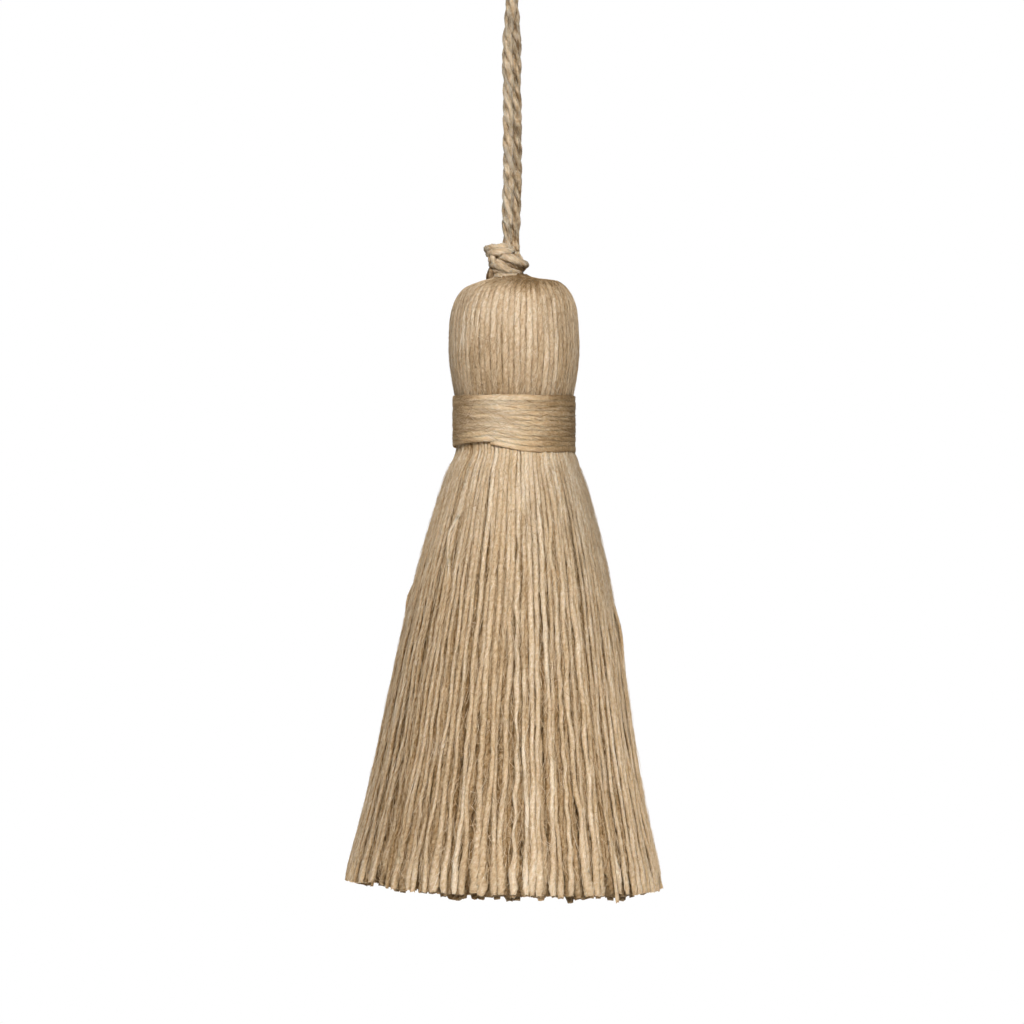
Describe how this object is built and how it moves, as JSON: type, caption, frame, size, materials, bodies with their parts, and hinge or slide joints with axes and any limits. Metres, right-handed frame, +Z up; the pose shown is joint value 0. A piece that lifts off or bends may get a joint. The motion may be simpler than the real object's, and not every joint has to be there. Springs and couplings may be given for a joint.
{
  "type": "key tassel",
  "caption": "Jute key tassel: ribbed yarn head with a wrapped neck and a long flared skirt of cut yarn, hung by a doubled twisted cord with a knot.",
  "frame": {"origin": "inside of the cord loop's crown, where the hook, knob or key that holds the tassel bears", "axes": "+Z up along the hanging cord, +X to the right of the pictured front, -Y out of that front"},
  "size_m": [0.0791, 0.0791, 0.2498],
  "materials": {
    "jute_cord": "twisted natural jute cord, matt with a faint lustre",
    "jute_yarn": "natural jute yarn, matt with fine loose fibres",
    "binding_yarn": "natural jute yarn wound side by side, matt"
  },
  "bodies": {
    "root": {"hanging_cord": "jute_cord", "cord_knot": "jute_cord", "tassel_yarn": "jute_yarn", "neck_binding": "binding_yarn"}
  },
  "joints": []
}
